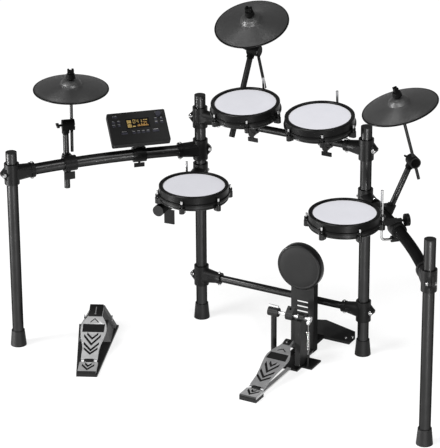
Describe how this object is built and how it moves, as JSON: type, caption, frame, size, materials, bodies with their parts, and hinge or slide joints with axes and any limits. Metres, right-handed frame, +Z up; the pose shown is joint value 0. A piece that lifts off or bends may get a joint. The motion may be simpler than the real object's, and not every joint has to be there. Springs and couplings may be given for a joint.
{
  "type": "electronic drum kit",
  "caption": "Electronic drum kit on a curved four-post rack: mesh drum pads, rubber cymbal pads on booms, a tilting sound module, a kick tower with its pedal and a hi-hat pedal.",
  "frame": {"origin": "on the floor under the middle of the kit", "axes": "+X to the right of a player at the kit, +Y away from the player, +Z up"},
  "size_m": [1.5842, 0.8286, 1.1372],
  "materials": {
    "black_tube": "satin black powder coat",
    "black_sheet": "satin black paint on bent sheet",
    "black_steel": "black plated rod",
    "bright_steel": "bright plated steel",
    "clamp_plastic": "moulded black nylon",
    "foot_rubber": "matt rubber",
    "shell_plastic": "moulded black",
    "hoop_rubber": "rubber-covered hoop",
    "drum_head": "woven mesh, near white",
    "sensor_foam": "dark foam",
    "cymbal_rubber": "dark grey rubber with a soft sheen",
    "module_plastic": "textured black",
    "module_panel": "smooth black with a dark display",
    "button_plastic": "soft black keys",
    "circuit_board": "green board",
    "pad_rubber": "smooth dark rubber",
    "cast_silver": "cast, satin",
    "pedal_plastic": "moulded black"
  },
  "bodies": {
    "rack": {"inner_posts": "black_tube", "inner_post_ends": "foot_rubber", "cross_rails": "black_tube", "snare_arm": "black_tube", "rack_clamps": "clamp_plastic", "crash_stand": "black_tube", "kick_tower": "black_sheet", "kick_pad": "pad_rubber", "kick_pedal_frame": "black_sheet", "kick_spring": "bright_steel", "hihat_pedal_base": "pedal_plastic", "pedal_heel_plates": "cast_silver"},
    "left_arm": {"left_arm_tube": "black_tube", "left_outer_post": "black_tube", "left_outer_post_ends": "foot_rubber", "left_arm_clamps": "clamp_plastic", "hihat_stand": "black_tube"},
    "right_arm": {"right_arm_tube": "black_tube", "right_outer_post": "black_tube", "right_outer_post_ends": "foot_rubber", "right_arm_clamps": "clamp_plastic", "ride_stand": "black_tube"},
    "module": {"module_case": "module_plastic", "module_panel": "module_panel", "module_board": "circuit_board"},
    "module_buttons": {"module_buttons": "button_plastic"},
    "module_knob": {"module_knob": "button_plastic"},
    "kick_footboard": {"kick_footboard": "cast_silver"},
    "kick_axle": {"kick_axle": "bright_steel"},
    "hihat_footboard": {"hihat_footboard": "cast_silver"},
    "snare": {"snare_shell": "shell_plastic", "snare_hoop": "hoop_rubber", "snare_head": "drum_head", "snare_rods": "bright_steel", "snare_trigger": "sensor_foam", "snare_clamp": "clamp_plastic"},
    "tom_1": {"tom_1_shell": "shell_plastic", "tom_1_hoop": "hoop_rubber", "tom_1_head": "drum_head", "tom_1_rods": "bright_steel", "tom_1_trigger": "sensor_foam", "tom_1_clamp": "clamp_plastic"},
    "tom_2": {"tom_2_shell": "shell_plastic", "tom_2_hoop": "hoop_rubber", "tom_2_head": "drum_head", "tom_2_rods": "bright_steel", "tom_2_trigger": "sensor_foam", "tom_2_clamp": "clamp_plastic"},
    "floor_tom": {"floor_tom_shell": "shell_plastic", "floor_tom_hoop": "hoop_rubber", "floor_tom_head": "drum_head", "floor_tom_rods": "bright_steel", "floor_tom_trigger": "sensor_foam", "floor_tom_clamp": "clamp_plastic"},
    "hihat_boom": {"hihat_boom": "black_steel"},
    "hihat_cymbal": {"hihat_cymbal": "cymbal_rubber"},
    "crash_boom": {"crash_boom": "black_steel"},
    "crash_cymbal": {"crash_cymbal": "cymbal_rubber"},
    "ride_boom": {"ride_boom": "black_steel"},
    "ride_cymbal": {"ride_cymbal": "cymbal_rubber"}
  },
  "joints": [
    {"name": "left_arm_swing", "type": "hinge", "parent": "rack", "child": "left_arm", "pos_m": [-0.311, 0.1874, 0.632], "axis": [0, 0, 1], "range_deg": [-15, 15]},
    {"name": "right_arm_swing", "type": "hinge", "parent": "rack", "child": "right_arm", "pos_m": [0.311, 0.1874, 0.571], "axis": [0, 0, 1], "range_deg": [-15, 15]},
    {"name": "snare_tilt", "type": "hinge", "parent": "rack", "child": "snare", "pos_m": [-0.28299, -0.07913, 0.545], "axis": [0.1045, -0.9945, 0], "range_deg": [-10, 10]},
    {"name": "tom_1_tilt", "type": "hinge", "parent": "rack", "child": "tom_1", "pos_m": [-0.111, 0.1874, 0.7485], "axis": [1, 0, 0], "range_deg": [-8, 10]},
    {"name": "tom_2_tilt", "type": "hinge", "parent": "rack", "child": "tom_2", "pos_m": [0.1645, 0.1874, 0.7485], "axis": [1, 0, 0], "range_deg": [-8, 10]},
    {"name": "floor_tom_tilt", "type": "hinge", "parent": "right_arm", "child": "floor_tom", "pos_m": [0.50903, 0.00996, 0.571], "axis": [0.7045, -0.7097, 0], "range_deg": [-10, 10]},
    {"name": "hihat_boom_tilt", "type": "hinge", "parent": "left_arm", "child": "hihat_boom", "pos_m": [-0.66021, -0.11146, 0.758], "axis": [0.766, 0.6428, 0], "range_deg": [-12, 12]},
    {"name": "hihat_cymbal_rock", "type": "hinge", "parent": "hihat_boom", "child": "hihat_cymbal", "pos_m": [-0.63892, -0.10315, 0.91983], "axis": [0.766, 0.6428, 0], "range_deg": [-7, 7], "stiffness_Nm_per_rad": 2},
    {"name": "crash_boom_tilt", "type": "hinge", "parent": "rack", "child": "crash_boom", "pos_m": [-0.191, 0.33461, 0.96077], "axis": [1, 0, 0], "range_deg": [-12, 12]},
    {"name": "crash_cymbal_rock", "type": "hinge", "parent": "crash_boom", "child": "crash_cymbal", "pos_m": [-0.17, 0.28296, 1.09893], "axis": [1, 0, 0], "range_deg": [-7, 7], "stiffness_Nm_per_rad": 2},
    {"name": "ride_boom_tilt", "type": "hinge", "parent": "right_arm", "child": "ride_boom", "pos_m": [0.47619, 0.18712, 0.73974], "axis": [0.7193, -0.6947, 0], "range_deg": [-12, 12]},
    {"name": "ride_cymbal_rock", "type": "hinge", "parent": "ride_boom", "child": "ride_cymbal", "pos_m": [0.44786, 0.12755, 0.96989], "axis": [0.7193, -0.6947, 0], "range_deg": [-7, 7], "stiffness_Nm_per_rad": 2},
    {"name": "module_tilt", "type": "hinge", "parent": "left_arm", "child": "module", "pos_m": [-0.47046, 0.04776, 0.669], "axis": [0.7373, 0.6756, 0], "range_deg": [-15, 15]},
    {"name": "module_buttons_press", "type": "slide", "parent": "module", "child": "module_buttons", "axis": [-0.3971, 0.4334, -0.809], "range_m": [0, 0.001], "stiffness_N_per_m": 400, "springref_m": -0.0008},
    {"name": "module_knob_turn", "type": "hinge", "parent": "module", "child": "module_knob", "pos_m": [-0.43886, 0.12281, 0.75469], "axis": [0.3971, -0.4334, 0.809], "continuous": true},
    {"name": "kick_footboard_press", "type": "hinge", "parent": "rack", "child": "kick_footboard", "pos_m": [0.131, -0.2426, 0.02], "axis": [-1, 0, 0], "range_deg": [0, 8], "stiffness_Nm_per_rad": 6, "springref_deg": -14.32},
    {"name": "kick_axle_turn", "type": "hinge", "parent": "rack", "child": "kick_axle", "pos_m": [0.131, 0.0194, 0.173], "axis": [-1, 0, 0], "range_deg": [0, 44], "deforming": ["kick_spring"]},
    {"name": "hihat_footboard_press", "type": "hinge", "parent": "rack", "child": "hihat_footboard", "pos_m": [-0.45872, -0.32879, 0.02], "axis": [-0.9078, -0.4195, 0], "range_deg": [0, 5], "stiffness_Nm_per_rad": 6, "springref_deg": -17.19}
  ],
  "couplings": [
    {"joint": "kick_axle_turn", "follows": "kick_footboard_press", "ratio": 5.5}
  ]
}
